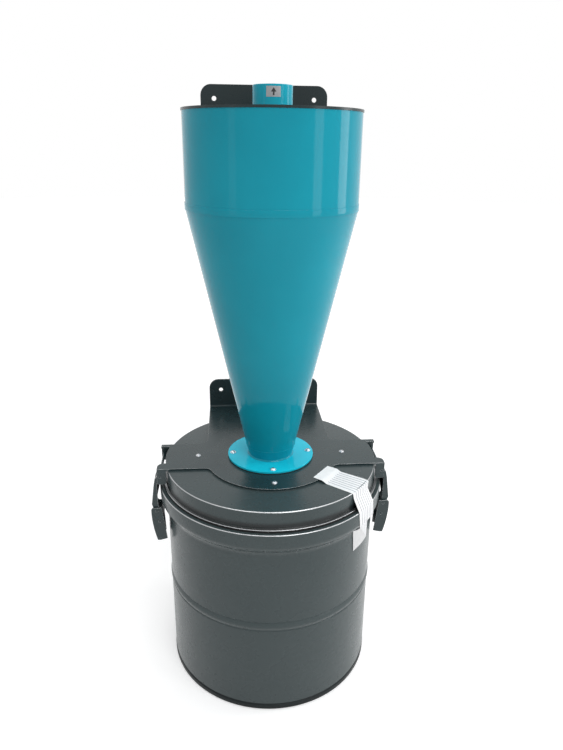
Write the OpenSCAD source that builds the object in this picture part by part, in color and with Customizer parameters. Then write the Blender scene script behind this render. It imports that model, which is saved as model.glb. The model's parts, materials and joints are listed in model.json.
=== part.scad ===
// Cyclone pre-separator: a conical dust separator on a latched bin, hung from two wall brackets.
// Millimetres, +Z up, origin on the bin's axis at floor level, front towards -Y, wall at +Y.

/* [Bin] */
// Outer diameter of the bin's wall
bin_d = 318; // [260:1:340]
// Height of the bin from the floor to the top of its rim
bin_h = 315; // [260:1:360]
// Thickness of the bin's sheet
bin_sheet = 1.5; // [1:0.1:2.5]
// How far the rim stands out from the bin's wall
rim_out = 10.5; // [9:0.5:16]
// Height of the rim's upright band
rim_band = 24; // [18:0.5:28]
// Height of the flare under the rim's band
flare_h = 10; // [8:0.5:14]
// Width of the rim's flat top
rim_top_w = 11; // [8:0.5:13]
// Height of the bead's centre above the floor
bead_z = 155; // [80:1:180]
// Height of the bead
bead_h = 11; // [6:0.5:14]
// How far the bead stands out
bead_out = 1.4; // [0.8:0.1:2.5]
// Height of the rolled chime at the foot
chime_h = 9; // [5:0.5:12]
// How far the chime stands out
chime_out = 0.4; // [0.2:0.1:1.5]
// Width of the chime's roll
chime_w = 5; // [4:0.5:8]
// Radius of the chime's lower edge
chime_edge_r = 3; // [2:0.5:4]
// Thickness of the bottom sheet
bottom_sheet = 1.5; // [1:0.1:3]

/* [Lid] */
// How far the lid's pan stands out from the bin's wall
lid_over = 0.3; // [0:0.1:4]
// Height of the lid from its foot to its top
lid_h = 26.5; // [25:0.5:44]
// Thickness of the lid's sheet
lid_sheet = 1.5; // [1:0.1:2.5]
// Radius of the lid's rounded edge
lid_edge_r = 3; // [3:0.5:8]
// Width of the lid's foot outside the pan
lid_foot_w = 4.5; // [3:0.5:6]
// Thickness of the lid's foot
lid_foot_t = 1.5; // [1.5:0.1:3]
// Thickness of the seal between lid and rim
seal_t = 2.5; // [2:0.5:5]

/* [Cyclone] */
// Outer diameter of the upper cylinder
cyl_d = 230; // [200:1:260]
// Height of the upper cylinder
cyl_h = 119; // [95:1:180]
// Thickness of the cyclone's sheet
cyc_sheet = 1.5; // [1:0.1:2.5]
// How far the cylinder laps over the cone
lap_h = 9; // [6:0.5:14]
// Thickness of the lap's outer layer
lap_t = 0.8; // [0.5:0.1:1.5]
// Height of the cone
cone_h = 346; // [260:1:420]
// Outer diameter at the bottom of the cone
cone_low_d = 74.8; // [62:0.2:84]
// Height of the neck between cone and flange
neck_h = 17; // [12:0.5:24]
// Outer diameter at the bottom of the neck
neck_low_d = 65.6; // [56:0.2:70]
// Diameter of the discharge flange
flange_d = 130; // [116:1:136]
// Thickness of the discharge flange
flange_t = 3; // [2:0.5:5]
// Thickness of the gasket under the flange
flange_seal_t = 1; // [0.5:0.1:2]
// Distance of the flange's screws in from its edge
flange_screw_inset = 7.6; // [6:0.1:11]
// Radius of a screw hole
screw_hole_r = 2.2; // [1.6:0.1:2.6]

/* [Air tubes] */
// Outer diameter of the air tubes
tube_d = 50.8; // [44:0.1:54]
// Wall of the air tubes
tube_wall = 1.6; // [1.2:0.1:2.5]
// Free length of each tube
spigot_l = 28; // [22:0.5:36]
// Depth of the outlet's inner tube below the top plate
finder_l = 110; // [80:1:118]
// Height of the inlet's centre below the cylinder's top
inlet_drop = 41; // [36:0.5:50]
// Distance of the inlet tube in from the cylinder's outer face
inlet_inset = 2.6; // [2:0.1:8]
// How far the inlet's branch stands out around its tube
branch_out = 1.2; // [0.6:0.1:2]

/* [Wall brackets] */
// Thickness of both bracket plates
plate_t = 3; // [2:0.5:5]
// Distance from the axis to the wall
wall_y = 191; // [180:1:240]
// Width of both straps
strap_w = 195; // [170:1:204]
// Inner radius of the bend between strap and upstand
bend_r = 3; // [2:0.5:6]
// Radius of the upstands' corners
upstand_corner_r = 16; // [8:0.5:20]
// Height of the upper upstand
upper_upstand_h = 45.5; // [40:0.5:60]
// Height of the upper wall holes above the top plate's underside
upper_hole_h = 25.5; // [20:0.5:27]
// Height of the lower upstand
lower_upstand_h = 55; // [48:0.5:70]
// Height of the lower wall holes above the carrier's underside
lower_hole_h = 35.5; // [28:0.5:36]
// Distance between the wall holes of a bracket
wall_hole_span = 154; // [140:1:160]
// Radius of a wall hole
wall_hole_r = 3.5; // [2.5:0.1:5]
// Distance of a wall hole from the upright plate's side
wall_hole_edge = 20.5; // [14:0.5:22]
// How far the top plate stands out around the cylinder
top_plate_out = 0.8; // [0.5:0.1:3]

/* [Carrier plate] */
// Radius of the plate's round front
lobe_r = 98; // [90:0.5:99]
// Distance from the axis forward to the round front's centre
lobe_y = 8; // [4:0.5:20]
// Radius of the fillets beside the round front
lobe_fillet_r = 12; // [8:0.5:16]
// Distance from the axis forward to the wings' front edge
wing_front_y = 40; // [40:0.5:48]
// Distance from the axis back to the wings' back edge
wing_back_y = 40; // [40:0.5:50]
// How far the wings reach out past the lid
wing_out = 10.5; // [10:0.5:18]
// Depth of a front ear
front_ear_l = 18; // [15:0.5:24]
// Depth of a back ear
back_ear_l = 8; // [6:0.5:12]
// Corner radius at the back of a front ear
ear_corner_r = 9; // [5:0.5:12]
// Radius of the fillets between strap and wings
strap_fillet_r = 15; // [8:0.5:20]
// Width of a bent-down tab
tab_w = 13.5; // [12:0.5:14]
// Height of a bent-down tab below the plate
tab_h = 22.5; // [18:0.5:24]
// Corner radius of a tab
tab_corner_r = 4; // [2:0.5:5]
// Distance of the side screws from the axis
plate_screw_x = 110.5; // [98:0.5:120]
// Distance of the front screw from the axis
plate_screw_y = 88.5; // [76:0.5:100]

/* [Latches] */
// Radius of the hinge rods and rivet pins
pin_r = 2; // [1.5:0.1:2.4]
// Clearance around a pin
pin_gap = 0.08; // [0.04:0.01:0.1]
// Distance of the hinge rod in from the wing's end
rod_inset = 4; // [4:0.1:5.5]
// Depth of the hinge rod below the carrier plate
rod_drop = 10; // [8:0.5:13]
// Thickness of the latch sheet
latch_sheet = 2; // [1.5:0.1:2.5]
// Side play between latch pieces
side_gap = 0.6; // [0.4:0.1:1]
// Width of an arm over its two flanges
arm_w = 20.5; // [16:0.5:24]
// Radius of an arm's eyes
eye_r = 4.6; // [4.2:0.1:5.4]
// Clearance between latch and bin
latch_gap = 5; // [4:0.5:6]
// Distance of an arm's upper outer edge from the hinge rod
arm_top_out = 8.2; // [7:0.1:9.5]
// Width of an arm's back flange beside the rim
arm_neck_w = 2.2; // [2:0.1:4]
// Distance of an arm's lower outer edge from the rim
arm_out = 11; // [8:0.5:12]
// Height of an arm's body edge below the rim's top
arm_drop = 29; // [26:0.5:32]
// Height of the handle's pivot below the rim's top
pivot_drop = 39; // [36:0.5:41]
// Distance of the handle's pivot outside the rim
pivot_out = 3.3; // [2:0.1:4]
// Distance of the handle's outer face from the rim
handle_out = 12.2; // [9.5:0.1:13]
// Height of the handle's top above its pivot
handle_up = 5; // [4:0.5:6]
// Length of the handle below its pivot
handle_l = 51.5; // [40:0.5:60]
// Width of the handle at its top
handle_top_w = 16; // [14:0.5:17]
// Radius of the handle's curved outer edge
handle_curve_r = 185; // [120:1:220]
// Radius of the handle's upper outer corner
handle_corner_r = 4; // [3:0.5:5]
// Thickness of the handle's outer web
handle_web = 4.5; // [2:0.5:5.5]
// Height of the handle's open slot below its pivot
handle_slot = 10; // [8:0.5:13]
// Rise of the handle's lower edge towards the bin
handle_rise = 2.5; // [0:0.5:5]
// Height of the hook's rivet below the pivot
hook_drop = 18; // [14:0.5:20]
// Distance of the hook's rivet in from the pivot
hook_in = 3; // [0:0.5:4]
// Width of the hook
hook_w = 7; // [5:0.5:11]
// Radius of the hook's tip
hook_tip_r = 2; // [1.5:0.1:2.5]
// Height of the hook's tip above the flare's lower end
hook_tip_up = 2; // [1:0.5:4]
// Gap between the hook's tip and the flare
seat_gap = 0.3; // [0.2:0.05:0.5]

/* [Hidden] */
$fn = 96;

paint_black = [0.11, 0.13, 0.14];
paint_teal = [0.06, 0.52, 0.60];
rubber_black = [0.05, 0.05, 0.05];
zinc = [0.75, 0.76, 0.78];

// Heights, from the floor up
seal_z = bin_h;
lid_z = seal_z + seal_t;
carrier_z = lid_z + lid_h;
flange_seal_z = carrier_z + plate_t;
flange_z = flange_seal_z + flange_seal_t;
neck_z = flange_z + flange_t;
cone_z = neck_z + neck_h;
cyl_z = cone_z + cone_h;
top_z = cyl_z + cyl_h;
spigot_z = top_z + plate_t;
inlet_z = top_z - inlet_drop;
band_z = bin_h - rim_band;
flare_z = band_z - flare_h;

// Radii
bin_r = bin_d / 2;
rim_r = bin_r + rim_out;
lid_r = bin_r + lid_over;
wing_x = lid_r + wing_out;
cyl_r = cyl_d / 2;
cone_low_r = cone_low_d / 2;
neck_low_r = neck_low_d / 2;
flange_r = flange_d / 2;
flange_screw_r = flange_r - flange_screw_inset;
tube_r = tube_d / 2;
bore_r = tube_r - tube_wall;
branch_r = tube_r + branch_out;
drop_r = neck_low_r - cyc_sheet;

// Width of the upright wall plates
upstand_w = wall_hole_span + 2 * wall_hole_edge;

// A cut runs past both faces of what it cuts
past = 1;

// Depth of the inlet's centre, and where its branch is clear of the cylinder all round
inlet_y = cyl_r - tube_r - inlet_inset;
inlet_x = sqrt(pow(cyl_r, 2) - pow(inlet_y - branch_r, 2)) + past;

// Latch places, for the right-hand latch
rod_x = wing_x - rod_inset;
rod_z = carrier_z - rod_drop;
arm_front_y = wing_front_y - plate_t - side_gap;
arm_back_y = arm_front_y - arm_w;
handle_front_y = arm_front_y + side_gap + latch_sheet;
handle_back_y = arm_back_y - side_gap - latch_sheet;
arm_top_x = rod_x + arm_top_out;
arm_top_z = rod_z - eye_r;
arm_neck_x = clear_x(bin_h, arm_back_y) + arm_neck_w;
arm_neck_z = bin_h + latch_gap;
arm_outer_x = rim_r + arm_out;
arm_low_z = bin_h - arm_drop;
pivot_x = rim_r + pivot_out;
pivot_z = bin_h - pivot_drop;
handle_outer_x = rim_r + handle_out;
handle_top_z = pivot_z + handle_up;
handle_low_z = pivot_z - handle_l;
hook_pin_x = pivot_x - hook_in;
hook_pin_z = pivot_z - hook_drop;
hook_mid_y = (arm_front_y + arm_back_y) / 2;
hook_near_y = hook_mid_y - hook_w / 2;
hook_tip_z = flare_z + hook_tip_up;

// Outer radius of the bin at a height between its wall and its rim's top
function bin_r_at(z) = bin_r + rim_out * max(0, min(1, (z - flare_z) / flare_h));

// Distance of a round wall of radius r from the middle plane, at depth y
function wall_x(r, y) = sqrt(pow(r, 2) - pow(y, 2));

// Distance a latch piece keeps from the middle plane beside the bin, at depth y and height z
function clear_x(z, y) = wall_x(bin_r_at(z) + latch_gap, y);

flare_slope = atan2(rim_out, flare_h);
hook_tip_x = wall_x(bin_r_at(hook_tip_z), hook_near_y) + (hook_tip_r + seat_gap) / cos(flare_slope);

// A ring of rectangular section
module ring(r_out, r_in, z, h) {
  difference() {
    translate([0, 0, z]) cylinder(r = r_out, h = h);
    translate([0, 0, z - past]) cylinder(r = r_in, h = h + 2 * past);
  }
}

// A conical shell with a wall of the given thickness, measured along the radius
module cone_shell(r_low, r_high, wall, z, h) {
  rotate_extrude()
    polygon([
      [r_low - wall, z], [r_low, z],
      [r_high, z + h], [r_high - wall, z + h]
    ]);
}

// A plate seen from the front, as thick as t, with its front face at depth y_front before the axis
module upright_plate(y_front, t) {
  translate([0, t - y_front, 0]) rotate([90, 0, 0]) linear_extrude(t) children();
}

// A pin along the depth of the object
module cross_pin(x, z, y_front, y_back) {
  translate([x, -y_back, z]) rotate([90, 0, 0]) cylinder(r = pin_r, h = y_front - y_back);
}

module bin_shell() {
  bead_r = (pow(bead_h / 2, 2) + pow(bead_out, 2)) / (2 * bead_out);
  color(paint_black)
    rotate_extrude() {
      translate([bin_r - bin_sheet, chime_h]) square([bin_sheet, flare_z - chime_h]);
      intersection() {
        translate([bin_r + bead_out - bead_r, bead_z]) circle(bead_r);
        translate([bin_r - bin_sheet, bead_z - bead_h]) square([bin_sheet + bead_out, 2 * bead_h]);
      }
    }
}

module bin_bottom() {
  color(paint_black) cylinder(r = bin_r + chime_out - chime_edge_r, h = bottom_sheet);
}

// Roll that stands on the bottom sheet and carries the wall
module bin_chime() {
  edge_x = chime_w - chime_edge_r;
  roll_h = chime_h - bottom_sheet;
  color(paint_black)
    rotate_extrude()
      translate([bin_r + chime_out - chime_w, bottom_sheet]) {
        square([edge_x, roll_h]);
        translate([0, chime_edge_r]) square([chime_w, roll_h - chime_edge_r]);
        intersection() {
          translate([edge_x, 0]) square(chime_edge_r);
          translate([edge_x, chime_edge_r]) circle(chime_edge_r);
        }
      }
}

module bin_rim() {
  color(paint_black)
    rotate_extrude()
      polygon([
        [bin_r - bin_sheet, flare_z], [bin_r, flare_z],
        [rim_r, band_z], [rim_r, bin_h],
        [rim_r - rim_top_w, bin_h], [rim_r - rim_top_w, bin_h - bin_sheet],
        [rim_r - bin_sheet, bin_h - bin_sheet], [rim_r - bin_sheet, band_z]
      ]);
}

module lid_seal() {
  color(rubber_black) ring(lid_r + lid_foot_w, rim_r - rim_top_w, seal_z, seal_t);
}

module lid_section() {
  edge_z = carrier_z - lid_edge_r;
  edge_x = lid_r - lid_edge_r;
  translate([lid_r - lid_sheet, lid_z]) square([lid_sheet, edge_z - lid_z]);
  translate([lid_r - lid_sheet, lid_z]) square([lid_sheet + lid_foot_w, lid_foot_t]);
  translate([drop_r, carrier_z - lid_sheet]) square([edge_x - drop_r, lid_sheet]);
  intersection() {
    translate([edge_x, edge_z]) square(lid_edge_r);
    difference() {
      translate([edge_x, edge_z]) circle(lid_edge_r);
      translate([edge_x, edge_z]) circle(lid_edge_r - lid_sheet);
    }
  }
}

module bin_lid() {
  color(paint_black)
    difference() {
      rotate_extrude() lid_section();
      plate_screw_holes(carrier_z - lid_sheet, lid_sheet);
      flange_screw_holes(carrier_z - lid_sheet, lid_sheet);
    }
}

// Holes of the three screws that hold the carrier plate on the lid
module plate_screw_holes(z, h) {
  for (at = [[-plate_screw_x, 0], [plate_screw_x, 0], [0, -plate_screw_y]])
    translate([at[0], at[1], z - past]) cylinder(r = screw_hole_r, h = h + 2 * past);
}

// Holes of the four screws of the discharge flange
module flange_screw_holes(z, h) {
  for (turn = [0 : 90 : 270])
    rotate([0, 0, turn])
      translate([flange_screw_r, 0, z - past]) cylinder(r = screw_hole_r, h = h + 2 * past);
}

module inlet_bore() {
  translate([0, inlet_y, inlet_z]) rotate([0, 90, 0]) cylinder(r = bore_r, h = inlet_x + spigot_l + past);
}

module cyclone_cylinder() {
  color(paint_teal)
    difference() {
      union() {
        ring(cyl_r, cyl_r - cyc_sheet, cyl_z, cyl_h);
        ring(cyl_r + lap_t, cyl_r, cyl_z, lap_h);
      }
      inlet_bore();
    }
}

module cyclone_cone() {
  color(paint_teal) cone_shell(cone_low_r, cyl_r, cyc_sheet, cone_z, cone_h);
}

module cone_neck() {
  color(paint_teal) cone_shell(neck_low_r, cone_low_r, cyc_sheet, neck_z, neck_h);
}

module discharge_flange() {
  color(paint_teal)
    difference() {
      ring(flange_r, drop_r, flange_z, flange_t);
      flange_screw_holes(flange_z, flange_t);
    }
}

module flange_seal() {
  color(rubber_black)
    difference() {
      ring(flange_r, drop_r, flange_seal_z, flange_seal_t);
      flange_screw_holes(flange_seal_z, flange_seal_t);
    }
}

module outlet_spigot() {
  color(paint_teal) ring(tube_r, bore_r, spigot_z, spigot_l);
}

module outlet_inner_tube() {
  color(paint_teal) ring(tube_r, bore_r, top_z - finder_l, finder_l);
}

module inlet_branch() {
  color(paint_teal)
    difference() {
      translate([0, inlet_y, inlet_z]) rotate([0, 90, 0]) cylinder(r = branch_r, h = inlet_x);
      inlet_bore();
      translate([0, 0, cyl_z]) cylinder(r = cyl_r, h = cyl_h);
    }
}

module inlet_spigot() {
  color(paint_teal)
    difference() {
      translate([inlet_x, inlet_y, inlet_z]) rotate([0, 90, 0]) cylinder(r = tube_r, h = spigot_l);
      inlet_bore();
    }
}

// Upright wall plate of a bracket, from its bend to its rounded top, with two wall holes
module upstand(z, h, hole_h) {
  low_z = z + plate_t + bend_r;
  high_z = z + h;
  corner_x = upstand_w / 2 - upstand_corner_r;
  upright_plate(plate_t - wall_y, plate_t)
    difference() {
      union() {
        translate([-upstand_w / 2, low_z]) square([upstand_w, h - upstand_corner_r - plate_t - bend_r]);
        translate([-corner_x, low_z]) square([2 * corner_x, high_z - low_z]);
        for (side = [-1, 1])
          translate([side * corner_x, high_z - upstand_corner_r]) circle(upstand_corner_r);
      }
      for (side = [-1, 1])
        translate([side * wall_hole_span / 2, z + hole_h]) circle(wall_hole_r);
    }
}

// Quarter bend that joins a strap to its upstand
module bend(z) {
  outer_r = bend_r + plate_t;
  translate([-upstand_w / 2, wall_y - outer_r, z + outer_r])
    rotate([90, 0, 90])
      linear_extrude(upstand_w)
        intersection() {
          translate([0, -outer_r]) square(outer_r);
          difference() {
            circle(outer_r);
            circle(bend_r);
          }
        }
}

// Flat strap that reaches back to the bend
module strap_outline() {
  translate([-strap_w / 2, 0]) square([strap_w, wall_y - bend_r - plate_t]);
}

module upper_wall_bracket() {
  color(paint_black) {
    difference() {
      translate([0, 0, top_z])
        linear_extrude(plate_t) {
          circle(cyl_r + top_plate_out);
          strap_outline();
        }
      translate([0, 0, top_z - past]) cylinder(r = bore_r, h = plate_t + 2 * past);
    }
    bend(top_z);
    upstand(top_z, upper_upstand_h, upper_hole_h);
  }
}

// Points along an arc, from one angle to another
function arc(x, y, r, from, to, steps) =
  [for (i = [0 : steps]) let (a = from + (to - from) * i / steps) [x + r * cos(a), y + r * sin(a)]];

// Right-hand half of the carrier's outline: round front, ears past the lid's edge, strap
function carrier_half() =
  let (
    fillet_y = wing_front_y + lobe_fillet_r,
    fillet_x = wall_x(lobe_r + lobe_fillet_r, fillet_y - lobe_y),
    lobe_end = atan2(lobe_y - fillet_y, fillet_x),
    ear_y = front_ear_l - wing_front_y,
    back_ear_y = wing_back_y - back_ear_l,
    strap_corner_x = strap_w / 2 + strap_fillet_r
  )
  concat(
    arc(0, -lobe_y, lobe_r, -90, lobe_end, 24),
    arc(fillet_x, -fillet_y, lobe_fillet_r, 180 + lobe_end, 90, 8),
    [[wing_x, -wing_front_y]],
    arc(wing_x - ear_corner_r, ear_y - ear_corner_r, ear_corner_r, 0, 90, 8),
    arc(0, 0, lid_r, asin(ear_y / lid_r), asin(back_ear_y / lid_r), 8),
    [[wing_x, back_ear_y], [wing_x, wing_back_y]],
    arc(strap_corner_x, wing_back_y + strap_fillet_r, strap_fillet_r, 270, 180, 8),
    [[strap_w / 2, wall_y - bend_r - plate_t]]
  );

module carrier_outline() {
  half = carrier_half();
  mirrored = [for (i = [len(half) - 1 : -1 : 1]) [-half[i][0], half[i][1]]];
  polygon(concat(half, mirrored));
}

// Tab bent down from an ear, with the hinge rod's hole
module tab(y_front) {
  low_z = carrier_z - tab_h;
  upright_plate(y_front, plate_t)
    difference() {
      union() {
        translate([wing_x - tab_w, low_z + tab_corner_r]) square([tab_w, tab_h + plate_t - tab_corner_r]);
        translate([wing_x - tab_w + tab_corner_r, low_z]) square([tab_w - 2 * tab_corner_r, tab_h]);
        for (x = [wing_x - tab_w + tab_corner_r, wing_x - tab_corner_r])
          translate([x, low_z + tab_corner_r]) circle(tab_corner_r);
      }
      translate([rod_x, rod_z]) circle(pin_r + pin_gap);
    }
}

module lower_wall_bracket() {
  color(paint_black) {
    difference() {
      translate([0, 0, carrier_z]) linear_extrude(plate_t) carrier_outline();
      translate([0, 0, carrier_z - past]) cylinder(r = drop_r, h = plate_t + 2 * past);
      plate_screw_holes(carrier_z, plate_t);
      flange_screw_holes(carrier_z, plate_t);
    }
    bend(carrier_z);
    upstand(carrier_z, lower_upstand_h, lower_hole_h);
    for (side = [-1, 1])
      mirror([side < 0 ? 1 : 0, 0, 0]) {
        tab(wing_front_y);
        tab(plate_t - wing_back_y);
      }
  }
}

module hinge_rod() {
  color(paint_black) cross_pin(rod_x, rod_z, wing_front_y, -wing_back_y);
}

// Side flange of an arm, whose inner edge clears the bin at depth y
module arm_flange(y) {
  inner_x = clear_x(bin_h, y);
  difference() {
    union() {
      translate([rod_x, rod_z]) circle(eye_r);
      polygon([
        [rod_x - eye_r, rod_z], [inner_x, arm_neck_z],
        [inner_x, arm_low_z], [pivot_x - eye_r, pivot_z],
        [pivot_x + eye_r, pivot_z], [arm_outer_x, arm_low_z],
        [arm_neck_x, arm_neck_z], [arm_top_x, arm_top_z],
        [rod_x + eye_r, rod_z]
      ]);
      translate([pivot_x, pivot_z]) circle(eye_r);
    }
    translate([rod_x, rod_z]) circle(pin_r + pin_gap);
    translate([pivot_x, pivot_z]) circle(pin_r + pin_gap);
  }
}

module latch_arm() {
  color(paint_black) {
    upright_plate(arm_front_y, latch_sheet) arm_flange(arm_front_y - latch_sheet);
    upright_plate(arm_back_y + latch_sheet, latch_sheet) arm_flange(arm_back_y);
    upright_plate(arm_front_y, arm_w)
      polygon([
        [arm_top_x, arm_top_z], [arm_top_x - latch_sheet, arm_top_z],
        [arm_neck_x - latch_sheet, arm_neck_z], [arm_outer_x - latch_sheet, arm_low_z],
        [arm_outer_x, arm_low_z], [arm_neck_x, arm_neck_z]
      ]);
  }
}

module handle_pin() {
  color(zinc) cross_pin(pivot_x, pivot_z, handle_front_y, handle_back_y);
}

// Outer limit of the handle's side view: a long arc that draws in towards the bottom
module handle_curve(inset) {
  translate([handle_outer_x - handle_curve_r, pivot_z]) circle(handle_curve_r - inset, $fn = 2 * $fn);
}

// Side flange of a handle, whose inner edge clears the bin at depth y
module handle_flange(y) {
  corner_x = handle_outer_x - handle_corner_r;
  corner_z = handle_top_z - handle_corner_r;
  difference() {
    intersection() {
      handle_curve(0);
      union() {
        translate([corner_x, corner_z]) circle(handle_corner_r);
        polygon([
          [handle_outer_x - handle_top_w, handle_top_z], [corner_x, handle_top_z],
          [corner_x, corner_z], [handle_outer_x, corner_z],
          [handle_outer_x, handle_low_z], [hook_pin_x, handle_low_z],
          [clear_x(handle_low_z, y), handle_low_z + handle_rise]
        ]);
      }
    }
    translate([pivot_x, pivot_z]) circle(pin_r + pin_gap);
    translate([hook_pin_x, hook_pin_z]) circle(pin_r + pin_gap);
  }
}

module latch_handle() {
  color(paint_black) {
    upright_plate(handle_front_y, latch_sheet) handle_flange(handle_front_y - latch_sheet);
    upright_plate(handle_back_y + latch_sheet, latch_sheet) handle_flange(handle_back_y);
    upright_plate(handle_front_y, handle_front_y - handle_back_y)
      intersection() {
        difference() {
          handle_curve(0);
          handle_curve(handle_web);
        }
        translate([hook_pin_x, handle_low_z]) square([handle_outer_x - hook_pin_x, handle_l - handle_slot]);
      }
  }
}

module hook_pin() {
  color(zinc) cross_pin(hook_pin_x, hook_pin_z, handle_front_y, handle_back_y);
}

module latch_hook() {
  color(zinc)
    upright_plate(hook_mid_y + hook_w / 2, hook_w)
      difference() {
        union() {
          translate([hook_pin_x, hook_pin_z]) circle(eye_r);
          translate([hook_tip_x, hook_tip_z]) circle(hook_tip_r);
          polygon([
            [hook_tip_x - hook_tip_r, hook_tip_z], [hook_pin_x - eye_r, hook_pin_z],
            [hook_pin_x + eye_r, hook_pin_z], [hook_tip_x + hook_tip_r, hook_tip_z]
          ]);
        }
        translate([hook_pin_x, hook_pin_z]) circle(pin_r + pin_gap);
      }
}

module left_side() {
  mirror([1, 0, 0]) children();
}

bin_shell();
bin_bottom();
bin_chime();
bin_rim();
bin_lid();
lid_seal();
cyclone_cylinder();
cyclone_cone();
cone_neck();
discharge_flange();
flange_seal();
outlet_spigot();
outlet_inner_tube();
inlet_branch();
inlet_spigot();
upper_wall_bracket();
lower_wall_bracket();
left_side() hinge_rod();  // left_hinge_rod
left_side() latch_arm();  // left_latch_arm
left_side() handle_pin();  // left_handle_pin
left_side() latch_handle();  // left_latch_handle
left_side() hook_pin();  // left_hook_pin
left_side() latch_hook();  // left_latch_hook
hinge_rod();  // right_hinge_rod
latch_arm();  // right_latch_arm
handle_pin();  // right_handle_pin
latch_handle();  // right_latch_handle
hook_pin();  // right_hook_pin
latch_hook();  // right_latch_hook
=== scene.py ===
import json
import math

import bmesh
import bpy
from mathutils import Matrix, Vector


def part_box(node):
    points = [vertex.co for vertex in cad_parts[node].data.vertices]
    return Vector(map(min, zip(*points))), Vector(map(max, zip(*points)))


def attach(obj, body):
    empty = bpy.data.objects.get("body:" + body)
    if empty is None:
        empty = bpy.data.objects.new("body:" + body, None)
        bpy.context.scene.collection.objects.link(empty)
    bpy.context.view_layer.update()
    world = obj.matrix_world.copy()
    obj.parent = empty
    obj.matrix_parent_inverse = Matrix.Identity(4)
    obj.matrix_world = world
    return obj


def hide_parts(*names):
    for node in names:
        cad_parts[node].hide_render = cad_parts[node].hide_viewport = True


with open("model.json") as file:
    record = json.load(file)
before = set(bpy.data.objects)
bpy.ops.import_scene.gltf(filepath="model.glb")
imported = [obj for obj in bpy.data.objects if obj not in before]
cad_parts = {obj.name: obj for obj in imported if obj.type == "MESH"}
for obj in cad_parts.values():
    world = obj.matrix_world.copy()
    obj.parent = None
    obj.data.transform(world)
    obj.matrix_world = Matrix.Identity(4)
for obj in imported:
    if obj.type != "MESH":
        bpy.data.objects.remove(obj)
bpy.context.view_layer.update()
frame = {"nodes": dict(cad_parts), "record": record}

NODES = frame["nodes"]
MM = 0.001
ROUND = 256  # sides of the large turned pieces


# Places read from the frame, and the sizes that it doesn't give

def foot(node):
    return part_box(node)[0].z


def top(node):
    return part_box(node)[1].z


def reach(node):
    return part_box(node)[1].x


SHEET = 1.5 * MM
TUBE_WALL = 1.6 * MM
CHIME_OUT = 0.4 * MM
CHIME_WIDE = 5 * MM
RIM_BAND = 24 * MM
RIM_LEDGE = 11 * MM
LID_FOOT_OUT = 4.5 * MM
LID_FOOT_T = 1.5 * MM
NECK_LOW_R = 32.8 * MM

chime_r = reach("bin_chime")
chime_low = foot("bin_chime")
chime_top = top("bin_chime")
bin_r = chime_r - CHIME_OUT
rim_r = reach("bin_rim")
rim_top = top("bin_rim")
band_z = rim_top - RIM_BAND
flare_z = foot("bin_rim")
lid_foot_r = reach("bin_lid")
lid_foot_z = foot("bin_lid")
lid_foot_top = lid_foot_z + LID_FOOT_T
lid_r = lid_foot_r - LID_FOOT_OUT
lid_top = top("bin_lid")
plate_top = foot("flange_seal")
flange_low = foot("discharge_flange")
flange_top = top("discharge_flange")
flange_r = reach("discharge_flange")
neck_high_r = reach("cone_neck")
drop_r = NECK_LOW_R - SHEET
cone_z = foot("cyclone_cone")
cone_top = top("cyclone_cone")
cone_r = reach("cyclone_cone")
lap_r = reach("cyclone_cylinder")
cyl_top = top("cyclone_cylinder")
tube_r = reach("outlet_spigot")
tube_foot = foot("outlet_spigot")
tube_top = top("outlet_spigot")
bore_r = tube_r - TUBE_WALL
branch_low, branch_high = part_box("inlet_branch")
branch_r = (branch_high.z - branch_low.z) / 2
spigot_low, spigot_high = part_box("inlet_spigot")
inlet_y = (spigot_low.y + spigot_high.y) / 2
inlet_z = (spigot_low.z + spigot_high.z) / 2


# Mesh helpers

def placed(name, data):
    """An object with this mesh, lamp or camera, in the scene."""
    obj = bpy.data.objects.new(name, data)
    bpy.context.scene.collection.objects.link(obj)
    return obj


def put(name, bm, material, body, node=None, sharp=40):
    """Makes a piece from a bmesh, gives it its finish and lets it ride on a body."""
    bmesh.ops.recalc_face_normals(bm, faces=bm.faces)
    mesh = bpy.data.meshes.new(name)
    bm.to_mesh(mesh)
    bm.free()
    mesh.shade_smooth()
    mesh.set_sharp_from_angle(angle=math.radians(sharp))
    mesh.materials.append(material)
    obj = placed(name, mesh)
    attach(obj, body)
    if node:
        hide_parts(node)
    return obj


def rounded(points, closed=True, steps=6):
    """Points of a section whose corners (x, z, radius) are turned into arcs."""
    out = []
    count = len(points)
    for i, corner in enumerate(points):
        p = Vector(corner[:2])
        r = corner[2] if len(corner) > 2 else 0
        if not r or (not closed and i in (0, count - 1)):
            out.append(tuple(p))
            continue
        a = (Vector(points[i - 1][:2]) - p).normalized()
        b = (Vector(points[(i + 1) % count][:2]) - p).normalized()
        half = a.angle(b) / 2
        centre = p + (a + b).normalized() * (r / math.sin(half))
        first = p + a * (r / math.tan(half)) - centre
        turn = (math.pi - 2 * half) * (1 if a.cross(b) < 0 else -1)
        for k in range(steps + 1):
            t = turn * k / steps
            c, s = math.cos(t), math.sin(t)
            out.append((centre.x + first.x * c - first.y * s, centre.y + first.x * s + first.y * c))
    return out


def lathe(section, segments, into=None, place=None):
    """Turns a closed section of (r, z) points about the Z axis; place moves the result."""
    bm = into or bmesh.new()
    place = place or Matrix()
    rings = []
    for r, z in section:
        if r < 1e-7:
            rings.append([bm.verts.new(place @ Vector((0, 0, z)))])
            continue
        ring = []
        for k in range(segments):
            t = math.tau * k / segments
            ring.append(bm.verts.new(place @ Vector((r * math.cos(t), r * math.sin(t), z))))
        rings.append(ring)
    for a, b in zip(rings, rings[1:] + rings[:1]):
        for k in range(segments):
            n = (k + 1) % segments
            corners = [a[k % len(a)], a[n % len(a)], b[n % len(b)], b[k % len(b)]]
            corners = list(dict.fromkeys(corners))
            if len(corners) > 2:
                bm.faces.new(corners)
    return bm


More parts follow.
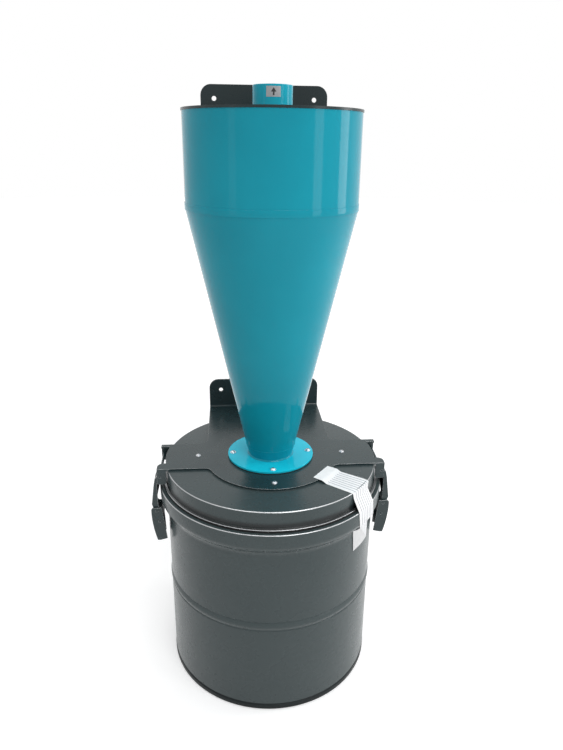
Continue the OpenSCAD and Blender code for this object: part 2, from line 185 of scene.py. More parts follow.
def bead_along(path, radius, sides=10):
    """A round bead that follows a closed line of points."""
    skew = Vector((0.31, 0.17, 0.93))
    bm = bmesh.new()
    rings = []
    for i, p in enumerate(path):
        along = (path[(i + 1) % len(path)] - path[i - 1]).normalized()
        side = along.cross(skew).normalized()
        up = side.cross(along)
        ring = []
        for k in range(sides):
            t = math.tau * k / sides
            ring.append(bm.verts.new(p + (side * math.cos(t) + up * math.sin(t)) * radius))
        rings.append(ring)
    for a, b in zip(rings, rings[1:] + rings[:1]):
        for k in range(sides):
            n = (k + 1) % sides
            bm.faces.new([a[k], a[n], b[n], b[k]])
    return bm


def cut(obj, bm, name, overlapping=False):
    """Cuts a tool, given as a bmesh, out of a piece."""
    bmesh.ops.recalc_face_normals(bm, faces=bm.faces)
    mesh = bpy.data.meshes.new(name)
    bm.to_mesh(mesh)
    bm.free()
    tool = placed(name, mesh)
    boolean = obj.modifiers.new(name, "BOOLEAN")
    boolean.object = tool
    boolean.solver = "EXACT"
    boolean.use_self = overlapping
    bpy.context.view_layer.objects.active = obj
    bpy.ops.object.modifier_apply(modifier=boolean.name)
    bpy.data.objects.remove(tool)
    bpy.data.meshes.remove(mesh)


def paint_light_on_faces(obj, material, wanted):
    """Gives those faces of a turned piece that are wanted, by radius, height and slope, a second finish that
    paints light or shade on them.
    """
    obj.data.materials.append(material)
    for face in obj.data.polygons:
        if wanted(math.hypot(face.center.x, face.center.y), face.center.z, face.normal.z):
            face.material_index = 1


def paint_highlight_along(obj, corners):
    """Gives corners, as (r, z, width, lowest and highest normal), a brighter metallic finish: a painted highlight
    along the edge.
    """
    def near(r, z, normal):
        return any(-1e-6 <= corner_r - r < width and -1e-6 <= corner_z - z < width
                   and lowest < normal < highest for corner_r, corner_z, width, lowest, highest in corners)

    paint_light_on_faces(obj, painted_edge_highlight, near)


def dressed(node, body, material, width, edge_light_paint):
    """A copy of a CAD piece with its sheet edges rounded off; the rounded edges get a finish of their own, which
    paints a highlight or a shade on them.
    """
    bm = bmesh.new()
    bm.from_mesh(NODES[node].data)
    bmesh.ops.remove_doubles(bm, verts=bm.verts, dist=2e-6)
    bmesh.ops.dissolve_limit(bm, angle_limit=math.radians(0.4), verts=bm.verts, edges=bm.edges)
    edges = [e for e in bm.edges if len(e.link_faces) == 2 and e.calc_face_angle() > math.radians(35)]
    bmesh.ops.bevel(bm, geom=edges, offset=width, offset_type="OFFSET", segments=3, profile=0.5,
                    affect="EDGES", clamp_overlap=True, material=1)
    obj = put(node + "_skin", bm, material, body, node, sharp=60)
    obj.data.materials.append(edge_light_paint)
    weighted = obj.modifiers.new("face_weighted", "WEIGHTED_NORMAL")
    weighted.keep_sharp = True


# Material helpers

def nodes_of(name):
    mat = bpy.data.materials.new(name)
    mat.use_nodes = True
    tree = mat.node_tree
    return mat, tree, tree.nodes["Principled BSDF"]


def link(tree, a, b):
    tree.links.new(a, b)


def coordinate(tree, kind, axis=None):
    """A coordinate of the surface, or one axis of it."""
    where = tree.nodes.new("ShaderNodeTexCoord").outputs[kind]
    if axis is None:
        return where
    split = tree.nodes.new("ShaderNodeSeparateXYZ")
    link(tree, where, split.inputs["Vector"])
    return split.outputs[axis]


def maths(tree, op, a, b):
    node = tree.nodes.new("ShaderNodeMath")
    node.operation = op
    for socket, value in zip(node.inputs, (a, b)):
        if isinstance(value, (int, float)):
            socket.default_value = value
        else:
            link(tree, value, socket)
    return node.outputs["Value"]


def noise(tree, scale, detail=3.0, stretch=None):
    where = coordinate(tree, "Object")
    if stretch:
        mapping = tree.nodes.new("ShaderNodeMapping")
        mapping.inputs["Scale"].default_value = stretch
        link(tree, where, mapping.inputs["Vector"])
        where = mapping.outputs["Vector"]
    node = tree.nodes.new("ShaderNodeTexNoise")
    node.inputs["Scale"].default_value = scale
    node.inputs["Detail"].default_value = detail
    link(tree, where, node.inputs["Vector"])
    return node.outputs["Fac"]


def tones(tree, fac, dark, light, low=0.3, high=0.7):
    ramp = tree.nodes.new("ShaderNodeValToRGB")
    ramp.color_ramp.elements[0].position = low
    ramp.color_ramp.elements[1].position = high
    ramp.color_ramp.elements[0].color = (*dark, 1)
    ramp.color_ramp.elements[1].color = (*light, 1)
    link(tree, fac, ramp.inputs["Fac"])
    return ramp.outputs["Color"]


def mapped(tree, value, low, high, to_low=0, to_high=1, kind="LINEAR"):
    """Leads a value from one range over to another."""
    node = tree.nodes.new("ShaderNodeMapRange")
    node.interpolation_type = kind
    for socket, number in (("From Min", low), ("From Max", high), ("To Min", to_low), ("To Max", to_high)):
        node.inputs[socket].default_value = number
    link(tree, value, node.inputs["Value"])
    return node.outputs["Result"]


def spread(tree, fac, low, high):
    return mapped(tree, fac, 0.3, 0.7, low, high)


def mixed(tree, factor, a, b):
    """Colour a where the factor is 0 and b where it is 1; either may be one fixed colour."""
    node = tree.nodes.new("ShaderNodeMix")
    node.data_type = "RGBA"
    link(tree, factor, node.inputs["Factor"])
    for socket, colour in (("A", a), ("B", b)):
        if isinstance(colour, tuple):
            node.inputs[socket].default_value = (*colour, 1)
        else:
            link(tree, colour, node.inputs[socket])
    return node.outputs["Result"]


def relief(tree, height, strength, depth, shader):
    bump = tree.nodes.new("ShaderNodeBump")
    bump.inputs["Strength"].default_value = strength
    bump.inputs["Distance"].default_value = depth
    link(tree, height, bump.inputs["Height"])
    link(tree, bump.outputs["Normal"], shader.inputs["Normal"])


def finish_of(name, dark, light, tone_scale, rough, rough_scale, bump_scale, bump, depth,
              stretch=None, shade=None, **fixed):
    """A finish of two close tones with an uneven gloss and a fine relief; shade is (low, high, darker tone), a
    painted shade that darkens the colour from height high down to height low.
    """
    mat, tree, shader = nodes_of(name)
    colour = tones(tree, noise(tree, tone_scale, stretch=stretch), dark, light)
    if shade:
        low, high, deep = shade
        colour = mixed(tree, mapped(tree, coordinate(tree, "Object", "Z"), low, high), deep, colour)
    link(tree, colour, shader.inputs["Base Color"])
    link(tree, spread(tree, noise(tree, rough_scale, stretch=stretch), *rough), shader.inputs["Roughness"])
    relief(tree, noise(tree, bump_scale, 2.0, stretch), bump, depth, shader)
    for socket, value in fixed.items():
        shader.inputs[socket.replace("_", " ")].default_value = value
    return mat


# Finishes

ENAMEL = {"tone_scale": 9, "rough": (0.05, 0.09), "rough_scale": 30,
          "bump_scale": 320, "bump": 0.015, "depth": 0.3 * MM, "Specular_IOR_Level": 0.14}
POWDER = {"tone_scale": 7, "rough": (0.24, 0.31), "rough_scale": 40,
          "bump_scale": 1500, "bump": 0.02, "depth": 0.2 * MM}
DRUM_TONES = (0.038, 0.055, 0.057), (0.046, 0.064, 0.066)
# painted shade: the lowest part of the lid's wall is darkened towards its foot, where shade falls above the rim
LID_PAINTED_SHADE = (lid_foot_top + 5 * MM, lid_foot_top + 9.5 * MM, (0.008, 0.012, 0.013))
PAPER_GRAIN = {"tone_scale": 140, "rough": (0.55, 0.7), "rough_scale": 300,
               "bump_scale": 900, "bump": 0.08, "depth": 0.15 * MM}
LABEL = {"rough_scale": 80, "bump_scale": 600, "bump": 0.03, "depth": 0.1 * MM}

teal = finish_of("teal_enamel", (0.0043, 0.270, 0.358), (0.0058, 0.306, 0.400), **ENAMEL)
# painted light: a brighter copy of the teal enamel for the outlet tube
lit_tube_teal = finish_of("teal_tube_painted_light", (0.0060, 0.378, 0.501), (0.0081, 0.428, 0.560), **ENAMEL)
# painted light: a brighter copy of the teal enamel for the flange, whose top the light falls on
lit_flange_teal = finish_of("teal_flange_painted_light", (0.008, 0.53, 0.69), (0.010, 0.58, 0.75), 30, (0.12, 0.18), 60,
                        320, 0.02, 0.3 * MM, Specular_IOR_Level=0.15)
black = finish_of("black_powder_coat", (0.012, 0.028, 0.031), (0.019, 0.039, 0.042), **POWDER,
                  Specular_IOR_Level=0.50)
# painted shade: a darker copy of the black powder coat for the upper wall bracket
shaded_bracket_black = finish_of("black_bracket_painted_shade", (0.008, 0.018, 0.020), (0.012, 0.025, 0.027), **POWDER,
                      Specular_IOR_Level=0.33)
drum_black = finish_of("black_drum_coat", *DRUM_TONES, **POWDER, Specular_IOR_Level=0.35)
# the lid's coat carries the painted shade towards its foot
lid_black = finish_of("black_lid_painted_shade", *DRUM_TONES, **POWDER, Specular_IOR_Level=0.35, shade=LID_PAINTED_SHADE)
# painted shade: a darker copy of the black coat for the bin's foot ring, the groove above it and the upper
# bracket's edges, where shade falls
painted_shade_black = finish_of("black_painted_shade", (0.007, 0.011, 0.012), (0.010, 0.015, 0.016), 60, (0.36, 0.46), 60,
                      1500, 0.02, 0.2 * MM, Specular_IOR_Level=0.18)
# painted highlight: a bright metallic finish laid on rounded edges in place of the highlight lines that light
# makes there
painted_edge_highlight = finish_of("black_painted_edge_highlight", (0.40, 0.41, 0.42), (0.50, 0.51, 0.52), 40, (0.28, 0.36), 60,
                       1500, 0.02, 0.2 * MM, Metallic=1.0)
rubber = finish_of("bare_seal", (0.016, 0.016, 0.017), (0.024, 0.024, 0.025), 400, (0.62, 0.78), 90,
                   900, 0.2, 0.3 * MM, Specular_IOR_Level=0.2)
zinc = finish_of("zinc_plate", (0.60, 0.62, 0.65), (0.78, 0.79, 0.81), 260, (0.22, 0.36), 180,
                 700, 0.06, 0.1 * MM, stretch=(1, 1, 3), Metallic=1.0)
dull_zinc = finish_of("dull_zinc_plate", (0.16, 0.165, 0.17), (0.22, 0.225, 0.23), 260, (0.42, 0.55), 180,
                      700, 0.06, 0.1 * MM, Metallic=1.0)
# painted shade: a greyer copy of the paper for the flap that hangs down the bin's side
shaded_flap_paper = finish_of("paper_flap_painted_shade", (0.62, 0.625, 0.63), (0.68, 0.68, 0.68), **PAPER_GRAIN)
film = finish_of("sticker_film", (0.40, 0.41, 0.42), (0.47, 0.48, 0.49), 200, (0.35, 0.45), **LABEL)
ink = finish_of("sticker_ink", (0.012, 0.013, 0.014), (0.022, 0.023, 0.024), 500, (0.4, 0.5), **LABEL)

COAT = {"teal_paint": teal, "black_paint": black, "seal_rubber": rubber, "zinc_steel": dull_zinc}
for subpart in frame["record"]["subparts"]:
    if subpart["node"] in NODES:
        materials = NODES[subpart["node"]].data.materials
        materials.clear()
        materials.append(COAT[subpart["material_slot"]])


# Bin

BLEND_Z = flare_z - 7 * MM
BEAD_Z, BEAD_HALF, BEAD_OUT = 155 * MM, 5.2 * MM, 1.3 * MM
BEAD_REACH = 12 * MM
BEAD_STEP, BEAD_STEPS = 0.25 * MM, 40
CREASE, CREASE_HALF = 0.7 * MM, 1.7 * MM
GROOVE, GROOVE_H, GROOVE_STEPS = 1.0 * MM, 2.8 * MM, 7
RIM_EDGE = 1.5 * MM


def wall_out(z):
    """How far the bin's wall stands out at a height: a bead between two creases, and a groove over the foot."""
    rise = z - chime_top
    if rise < GROOVE_H:
        return -GROOVE * math.sin(math.pi * rise / GROOVE_H)
    d = abs(z - BEAD_Z)
    if d < BEAD_HALF:
        return BEAD_OUT * math.cos(math.pi / 2 * d / BEAD_HALF)
    if d < BEAD_HALF + 2 * CREASE_HALF:
        return -CREASE * math.sin(math.pi * (d - BEAD_HALF) / (2 * CREASE_HALF)) ** 2
    return 0


marks = [chime_top + k * GROOVE_H / GROOVE_STEPS for k in range(GROOVE_STEPS + 1)] + [BEAD_Z - BEAD_REACH]
marks += [BEAD_Z + k * BEAD_STEP for k in range(-BEAD_STEPS, BEAD_STEPS + 1)]
marks += [BEAD_Z + BEAD_REACH, BLEND_Z]
wall = [(bin_r - SHEET, BLEND_Z), (bin_r - SHEET, chime_top)] + [(bin_r + wall_out(m), m) for m in marks]
bin_wall = put("bin_wall", lathe(wall, ROUND), drum_black, "separator", "bin_shell")
# painted shade on the groove over the bin's foot
paint_light_on_faces(bin_wall, painted_shade_black, lambda r, z, normal: z < chime_top + GROOVE_H)

rim = rounded([
    (bin_r - SHEET, BLEND_Z), (bin_r, BLEND_Z), (bin_r, flare_z, 16 * MM), (rim_r, band_z, 14 * MM),
    (rim_r, rim_top, RIM_EDGE), (rim_r - RIM_LEDGE, rim_top, 0.5 * MM),
    (rim_r - RIM_LEDGE, rim_top - SHEET, 0.4 * MM), (rim_r - SHEET, rim_top - SHEET, 0.6 * MM),
    (rim_r - SHEET, band_z, 12.5 * MM), (bin_r - SHEET, flare_z, 16 * MM),
], steps=8)
rim_roll = put("bin_rim_roll", lathe(rim, ROUND), drum_black, "separator", "bin_rim")
# painted highlight along the rim's top outer edge
paint_highlight_along(rim_roll, [(rim_r, rim_top, RIM_EDGE, 0.3, 0.97)])

chime = rounded([
    (chime_r - CHIME_WIDE, chime_low, 0.6 * MM), (chime_r, chime_low, 1.0 * MM),
    (chime_r, chime_top, 0.8 * MM), (chime_r - CHIME_WIDE, chime_top, 0.6 * MM),
])
# the foot ring wears the darker copy of the black coat: painted shade
put("bin_chime_roll", lathe(chime, ROUND), painted_shade_black, "separator", "bin_chime")


# Lid

LID_EDGE = 2.4 * MM
lid = rounded([
    (lid_r - SHEET, lid_foot_z, 0.3 * MM), (lid_foot_r, lid_foot_z, 0.6 * MM),
    (lid_foot_r, lid_foot_top, 0.8 * MM), (lid_r, lid_foot_top, 1.4 * MM), (lid_r, lid_top, LID_EDGE),
    (drop_r, lid_top), (drop_r, lid_top - SHEET), (lid_r - SHEET, lid_top - SHEET, 1.2 * MM),
], steps=8)
lid_pan = put("lid_pan", lathe(lid, ROUND), lid_black, "separator", "bin_lid")
# painted highlight along the lid's top edge and the edge of its foot
paint_highlight_along(lid_pan, [(lid_r, lid_top, LID_EDGE, 0.6, 0.9), (lid_foot_r, lid_foot_top, 2.3 * MM, 0.3, 1.1)])


# Cyclone

lap_top = cone_top + 9 * MM
shell = rounded([
    (cone_r - SHEET, cone_top), (lap_r, cone_top, 0.25 * MM), (lap_r, lap_top, 0.35 * MM),
    (cone_r, lap_top, 0.15 * MM), (cone_r, cyl_top), (cone_r - SHEET, cyl_top),
], steps=4)
cylinder = put("cylinder_shell", lathe(shell, ROUND), teal, "separator", "cyclone_cylinder")

along_inlet = Matrix.Translation((0, inlet_y, inlet_z)) @ Matrix.Rotation(math.pi / 2, 4, "Y")
bore_long = cone_r * 1.2
bore = bmesh.new()
bmesh.ops.create_cone(bore, cap_ends=True, segments=96, radius1=bore_r, radius2=bore_r, depth=bore_long,
                      matrix=Matrix.Translation((bore_long / 2, 0, 0)) @ along_inlet)
cut(cylinder, bore, "inlet_opening")

cone = [
    (neck_high_r - SHEET, cone_z), (neck_high_r, cone_z), (cone_r, cone_top), (cone_r - SHEET, cone_top),
]
put("cone_shell", lathe(cone, ROUND), teal, "separator", "cyclone_cone")

WELD = 2.4 * MM
neck = rounded([
    (drop_r, flange_top), (NECK_LOW_R + WELD, flange_top),
    (NECK_LOW_R + WELD * 0.5, flange_top + WELD * 0.6, 1.2 * MM),
    (NECK_LOW_R + 0.7 * MM, flange_top + WELD, 0.8 * MM), (neck_high_r, cone_z - 1.2 * MM, 0.3 * MM),
    (neck_high_r + 0.25 * MM, cone_z - 0.6 * MM, 0.3 * MM),
    (neck_high_r + 0.15 * MM, cone_z), (neck_high_r - SHEET, cone_z),
])
put("neck_shell", lathe(neck, 192), teal, "separator", "cone_neck")

flange = rounded([
    (drop_r, flange_low), (flange_r, flange_low, 0.4 * MM),
    (flange_r, flange_top, 0.7 * MM), (drop_r, flange_top),
])
# the flange wears the brighter copy of the teal: painted light
put("flange_ring", lathe(flange, 192), lit_flange_teal, "separator", "discharge_flange")


# Air tubes

TUBE_EDGE = 0.6 * MM
TUBE_WELD = 2.2 * MM
spigot = rounded([
    (bore_r, tube_foot), (tube_r + TUBE_WELD, tube_foot), (tube_r + 0.9 * MM, tube_foot + 0.9 * MM, 1.6 * MM),
    (tube_r, tube_foot + TUBE_WELD, 1.6 * MM), (tube_r, tube_top, TUBE_EDGE), (bore_r, tube_top, TUBE_EDGE),
])
# the outlet tube wears the brighter copy of the teal: painted light
put("outlet_tube", lathe(spigot, 128), lit_tube_teal, "separator", "outlet_spigot")

inlet = rounded([
    (bore_r, spigot_low.x), (branch_r, spigot_low.x), (tube_r + 0.3 * MM, spigot_low.x + 1.3 * MM, 0.8 * MM),
    (tube_r, spigot_low.x + 2.4 * MM, 0.8 * MM), (tube_r, spigot_high.x, TUBE_EDGE),
    (bore_r, spigot_high.x, TUBE_EDGE),
])
put("inlet_tube", lathe(inlet, 128, place=along_inlet), teal, "separator", "inlet_spigot")

SEAM_POINTS = 120
seam = []
for k in range(SEAM_POINTS):
    t = math.tau * k / SEAM_POINTS
    y = inlet_y + branch_r * math.cos(t)
    seam.append(Vector((math.sqrt(cone_r ** 2 - y ** 2), y, inlet_z + branch_r * math.sin(t))))
put("inlet_weld", bead_along(seam, 1.5 * MM), teal, "separator", sharp=80)


# Brackets and latches

# the upper bracket gets the darker copy of the black coat, and painted shade on its rounded edges
dressed("upper_wall_bracket", "separator", shaded_bracket_black, 0.5 * MM, painted_shade_black)
# painted highlight along the rounded edges of the lower bracket and the latches
dressed("lower_wall_bracket", "separator", black, 0.5 * MM, painted_edge_highlight)
for side in ("left", "right"):
    dressed(side + "_latch_arm", side + "_arm", black, 0.4 * MM, painted_edge_highlight)
    dressed(side + "_latch_handle", side + "_handle", black, 0.5 * MM, painted_edge_highlight)


# Screws and rivet heads

WASHER, WASHER_T = 1.32, 0.5 * MM


def dome(r, low, h, upright, steps):
    """The round part of a head of height h, over an upright share of it, up to the middle."""
    arc = []
    for k in range(1, steps):
        t = math.pi / 2 * k / steps
        arc.append((r * math.cos(t), low + h * (upright + (1 - upright) * math.sin(t))))
    return arc + [(0, low + h)]


def screw_head(r, h):
    """A domed head on a thin washer."""
    side = rounded([
        (0, 0), (r * WASHER, 0), (r * WASHER, WASHER_T, 0.2 * MM), (r, WASHER_T), (r, WASHER_T + h * 0.25),
    ], closed=False, steps=3)
    return lathe(side + dome(r, WASHER_T, h, 0.25, 8), 40)


def cut_cross(obj, r, h):
    """Cuts a cross recess into a screw head."""
    cross = bmesh.new()
    for wide, deep in ((1.1, 0.22), (0.22, 1.1)):
        size = Matrix.Diagonal((r * wide, r * deep, h * 0.9, 1))
        bmesh.ops.create_cube(cross, size=1, matrix=Matrix.Translation((0, 0, h)) @ size)
    cut(obj, cross, "recess", overlapping=True)


def screws(prefix, places, z, r, h):
    """Domed screws at places (x, y, turn in degrees) on a face at height z."""
    first = None
    for i, (x, y, turn) in enumerate(places):
        name = f"{prefix}_{i + 1}"
        if first is None:
            obj = put(name, screw_head(r, h), zinc, "separator", sharp=35)
            cut_cross(obj, r, WASHER_T + h)
            obj.data.set_sharp_from_angle(angle=math.radians(35))
            first = obj
        else:
            obj = placed(name, first.data)
            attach(obj, "separator")
        obj.location = (x, y, z)
        obj.rotation_euler = (0, 0, math.radians(turn))


screw_ring = flange_r - 7.6 * MM
ring_places = [(screw_ring * math.cos(math.radians(a)), screw_ring * math.sin(math.radians(a)), 20 + 17 * a / 90)
               for a in (0, 90, 180, 270)]
plate_places = [(-110.5 * MM, 0, 12), (110.5 * MM, 0, 35), (0, -88.5 * MM, 50)]
screws("flange_screw", ring_places, flange_top, 3.3 * MM, 2.4 * MM)
screws("plate_screw", plate_places, plate_top, 2.9 * MM, 2.0 * MM)


def rivet_heads(name, node, body, r, h):
    """Domed heads on both ends of a pin that lies along the depth of the object."""
    low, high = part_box(node)
    x, z = (low.x + high.x) / 2, (low.z + high.z) / 2
    head = [(0, 0), (r, 0), (r, 0.2 * h)] + dome(r, 0, h, 0.2, 6)
    bm = bmesh.new()
    for y, turn in ((low.y, math.pi / 2), (high.y, -math.pi / 2)):
        lathe(head, 32, bm, Matrix.Translation((x, y, z)) @ Matrix.Rotation(turn, 4, "X"))
    put(name, bm, black, body, sharp=50)


for side in ("left", "right"):
    rivet_heads(side + "_pivot_rivet", side + "_handle_pin", side + "_arm", 2.1 * MM, 0.6 * MM)
    rivet_heads(side + "_hook_rivet", side + "_hook_pin", side + "_handle", 2.1 * MM, 0.5 * MM)


# Folded paper strip over lid and rim

PAPER_T = 0.25 * MM
PAPER_W = 41 * MM
COLUMNS = 12


def round_row(r, z_left, z_right, az_left, az_right, r_right=None):
    """A row of the strip that follows a round surface between two directions, in degrees."""
    row = []
    for k in range(COLUMNS + 1):
        f = k / COLUMNS
        a = math.radians(az_left + (az_right - az_left) * f)
        out = r + ((r_right or r) - r) * f
        row.append(Vector((out * math.cos(a), out * math.sin(a), z_left + (z_right - z_left) * f)))
    return row


def on_lid(t, z):
    """A straight row of the strip on plate or lid, t from its inner end to the lid's edge."""
    left = Vector((0.0565 + 0.0477 * t, -0.0772 - 0.0408 * t, z))
    right = Vector((0.0820 + 0.0505 * t, -0.0449 - 0.0375 * t, z))
    return [left.lerp(right, k / COLUMNS) for k in range(COLUMNS + 1)]


def between(a, b, steps):
    """Rows that lead evenly from one row to another, the last left out."""
    return [[p.lerp(q, k / steps) for p, q in zip(a, b)] for k in range(steps)]


def close_skins(bm, low, high):
    """Faces over two grids of corners that lie one above the other, and along their edges."""
    for grid in (low, high):
        for a, b in zip(grid, grid[1:]):
            for k in range(len(a) - 1):
                bm.faces.new([a[k], a[k + 1], b[k + 1], b[k]])
    for i in (0, -1):
        for k in range(len(low[i]) - 1):
            bm.faces.new([low[i][k], low[i][k + 1], high[i][k + 1], high[i][k]])
    for k in (0, -1):
        for i in range(len(low) - 1):
            bm.faces.new([low[i][k], low[i + 1][k], high[i + 1][k], high[i][k]])


def sheet(name, rows, material):
    """A thin sheet on a grid of points, with its length and width laid out for the ruled lines."""
    bm = bmesh.new()
    uv = bm.loops.layers.uv.new("strip")
    skins = ([], [])
    at = {}
    length = 0
    for i, row in enumerate(rows):
        before, after = rows[max(i - 1, 0)], rows[min(i + 1, len(rows) - 1)]
        if i:
            length += (row[COLUMNS // 2] - before[COLUMNS // 2]).length
        for skin in skins:
            skin.append([])
        for k, p in enumerate(row):
            across = row[min(k + 1, COLUMNS)] - row[max(k - 1, 0)]
            normal = (after[k] - before[k]).cross(across).normalized()
            for layer, skin in enumerate(skins):
                v = bm.verts.new(p + normal * PAPER_T * layer)
                at[v] = (length, PAPER_W * (k / COLUMNS - 0.5))
                skin[-1].append(v)
    close_skins(bm, *skins)
    for face in bm.faces:
        for loop in face.loops:
            loop[uv].uv = at[loop.vert]
    put(name, bm, material, "separator", sharp=50)


LIFT = 0.15 * MM
ON_BIN = bin_r + 0.4 * MM
ON_RIM = rim_r + 0.35 * MM
LAID_FLAP = bin_r + 0.75 * MM
stations = [
    (on_lid(0, plate_top + LIFT), 5), (on_lid(0.24, plate_top + LIFT), 2), (on_lid(0.36, lid_top + LIFT), 8),
    (on_lid(0.97, lid_top + LIFT), 2),
    (round_row(lid_r + 0.4 * MM, lid_top - 0.6 * MM, lid_top - 0.6 * MM, -48.2, -32.2), 4),
    (round_row(lid_r + 2.0 * MM, lid_top - 9 * MM, lid_top - 10 * MM, -47.9, -33.3, lid_r + 0.9 * MM), 6),
    (round_row(rim_r + 0.1 * MM, rim_top + 0.4 * MM, rim_top + 0.4 * MM, -46.9, -33.2), 2),
    (round_row(ON_RIM, rim_top - 2 * MM, rim_top - 2 * MM, -46.8, -33.1), 6),
    (round_row(ON_RIM, band_z + 1 * MM, band_z + 1 * MM, -45.8, -31.8), 6),
    (round_row(ON_BIN, flare_z - 3 * MM, flare_z - 3 * MM, -39.3, -29.3), 5),
    (round_row(ON_BIN, 0.274, 0.2457, -38.8, -29.6), 1),
]
rows = []
for (row, steps), (following, _) in zip(stations, stations[1:]):
    rows += between(row, following, steps)
rows.append(stations[-1][0])

LINE_GAP, LINE_WIDE = 5.0 * MM, 1.5 * MM
RULED_HALF = 17 * MM
RULED_FROM = 22 * MM
paper, tree, shader = nodes_of("paper")
where = tree.nodes.new("ShaderNodeUVMap")
where.uv_map = "strip"
split = tree.nodes.new("ShaderNodeSeparateXYZ")
link(tree, where.outputs["UV"], split.inputs["Vector"])
row_at = maths(tree, "MODULO", maths(tree, "ADD", split.outputs["Y"], 20 * LINE_GAP), LINE_GAP)
ruled = maths(tree, "LESS_THAN", row_at, LINE_WIDE)
inside = maths(tree, "LESS_THAN", maths(tree, "ABSOLUTE", split.outputs["Y"], 0), RULED_HALF)
started = maths(tree, "GREATER_THAN", split.outputs["X"], RULED_FROM)
lines = maths(tree, "MULTIPLY", maths(tree, "MULTIPLY", ruled, inside), started)
plain = tones(tree, noise(tree, PAPER_GRAIN["tone_scale"]), (0.84, 0.845, 0.85), (0.90, 0.90, 0.90))
link(tree, mixed(tree, lines, plain, (0.46, 0.47, 0.50)), shader.inputs["Base Color"])
gloss = spread(tree, noise(tree, PAPER_GRAIN["rough_scale"]), *PAPER_GRAIN["rough"])
link(tree, gloss, shader.inputs["Roughness"])
relief(tree, noise(tree, PAPER_GRAIN["bump_scale"]), PAPER_GRAIN["bump"], PAPER_GRAIN["depth"], shader)
sheet("paper_strip", rows, paper)

flap_top = round_row(LAID_FLAP, 0.280, 0.274, -46.3, -38.8)
flap_low = round_row(LAID_FLAP, 0.245, 0.2457, -45.2, -29.5)
# the flap wears the greyer copy of the paper: painted shade
sheet("paper_flap", between(flap_top, flap_low, 6) + [flap_low], shaded_flap_paper)


# Small sticker on the outlet tube, with a plain arrow

def patch(name, limits_at, depths, lift, thickness, material, columns):
    """A thin skin on the outlet tube, between two azimuths at each depth, in mm, below the tube's top."""
    bm = bmesh.new()
    skins = []
    for r in (tube_r + lift, tube_r + lift + thickness):
        grid = []
        for depth in depths:
            left, right = (math.radians(a) for a in limits_at(depth))
            angles = [left + (right - left) * k / columns for k in range(columns + 1)]
            grid.append([bm.verts.new((r * math.cos(a), r * math.sin(a), tube_top - depth * MM)) for a in angles])
        skins.append(grid)
    close_skins(bm, *skins)
    put(name, bm, material, "separator", sharp=50)


ARROW_AZ = -91
STEM_HALF = 2.4
TIP_DEPTH, HEAD_SPREAD = 4.2, 1.6
FILM_LIFT, FILM_T = 0.02 * MM, 0.12 * MM
INK_LIFT, INK_T = FILM_LIFT + FILM_T, 0.05 * MM


def head_limits(depth):
    half = HEAD_SPREAD * (depth - TIP_DEPTH)
    return ARROW_AZ - half, ARROW_AZ + half


patch("tube_sticker", lambda depth: (-112, -71), (14.7, 11, 7, 2.6), FILM_LIFT, FILM_T, film, 24)
patch("arrow_stem", lambda depth: (ARROW_AZ - STEM_HALF, ARROW_AZ + STEM_HALF), (13, 9), INK_LIFT, INK_T, ink, 4)
patch("arrow_head", head_limits, (9, 7.5, 6, 4.4), INK_LIFT, INK_T, ink, 8)


# Floor, light and camera

def shown(tree):
    """1 for rays that show the backdrop itself, 0 for rays that carry its light."""
    rays = tree.nodes.new("ShaderNodeLightPath")
    seen = maths(tree, "ADD", rays.outputs["Is Camera Ray"], rays.outputs["Is Glossy Ray"])
    return maths(tree, "ADD", seen, rays.outputs["Is Transmission Ray"])


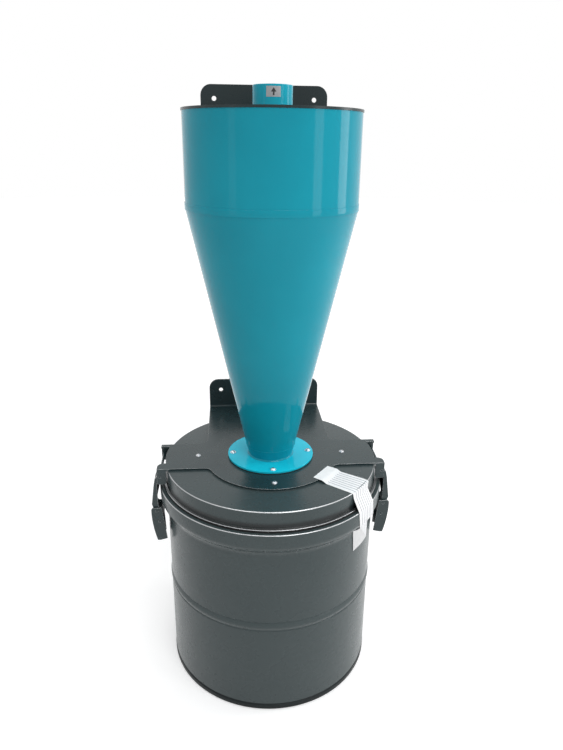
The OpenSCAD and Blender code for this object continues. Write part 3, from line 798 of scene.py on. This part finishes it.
floor_mat, tree, shader = nodes_of("floor")
link(tree, tones(tree, noise(tree, 3), (0.80, 0.80, 0.80), (0.83, 0.83, 0.83)), shader.inputs["Base Color"])
shader.inputs["Roughness"].default_value = 0.9
shader.inputs["Specular IOR Level"].default_value = 0.1
shader.inputs["Emission Color"].default_value = (1, 1, 1, 1)
away = tree.nodes.new("ShaderNodeVectorMath")
away.operation = "LENGTH"
link(tree, coordinate(tree, "Object"), away.inputs[0])
glow = mapped(tree, away.outputs["Value"], 0.5, 3.0, 0.38, 0.62)
link(tree, maths(tree, "MULTIPLY", shown(tree), glow), shader.inputs["Emission Strength"])
floor_bm = bmesh.new()
bmesh.ops.create_circle(floor_bm, cap_ends=True, segments=96, radius=9)
floor_mesh = bpy.data.meshes.new("floor")
floor_bm.to_mesh(floor_mesh)
floor_bm.free()
floor_mesh.materials.append(floor_mat)
placed("floor", floor_mesh)

world = bpy.data.worlds.new("studio")
bpy.context.scene.world = world
world.use_nodes = True
tree = world.node_tree
sweep = mapped(tree, coordinate(tree, "Generated", "Y"), -0.10, 0.22, kind="SMOOTHSTEP")
room = tones(tree, sweep, (0.25, 0.26, 0.27), (1, 1, 1), 0, 1)
link(tree, mixed(tree, shown(tree), room, (1, 1, 1)), tree.nodes["Background"].inputs["Color"])


def softbox(name, at, aim, wide, tall, watts):
    lamp = bpy.data.lights.new(name, "AREA")
    lamp.shape = "RECTANGLE"
    lamp.size = wide
    lamp.size_y = tall
    lamp.energy = watts
    obj = placed(name, lamp)
    obj.location = at
    obj.rotation_euler = (Vector(aim) - Vector(at)).to_track_quat("-Z", "Y").to_euler()


softbox("left_strip", (-2.3, -1.7, 1.3), (0, 0, 0.5), 0.5, 2.4, 2)
softbox("right_box", (2.6, 0.25, 1.3), (0, 0, 0.5), 0.8, 2.2, 21)
softbox("right_front_box", (2.2, -1.6, 1.3), (0, 0, 0.5), 0.6, 2.4, 12)
softbox("front_box", (0.9, -2.2, 2.6), (0, 0, 0.3), 1.6, 1.2, 35)
softbox("over_strip", (0, -0.35, 2.6), (0, 0, 0.4), 2.2, 0.4, 13)

CAMERA_AT = Vector((-0.0582, -0.8564, 0.7983))
heading, pitch, roll = math.radians(4.921), math.radians(20.549), math.radians(0.704)
forward = Vector((math.sin(heading) * math.cos(pitch), math.cos(heading) * math.cos(pitch), -math.sin(pitch)))
level = Vector((math.cos(heading), -math.sin(heading), 0))
upright = level.cross(forward)
across = level * math.cos(roll) + upright * math.sin(roll)
above = upright * math.cos(roll) - level * math.sin(roll)
lens = bpy.data.cameras.new("camera")
lens.lens = 29.92
lens.sensor_width = 36
camera = placed("camera", lens)
camera.matrix_world = Matrix((across, above, -forward)).transposed().to_4x4()
camera.location = CAMERA_AT
bpy.context.scene.camera = camera

bpy.context.scene.view_settings.view_transform = "Standard"
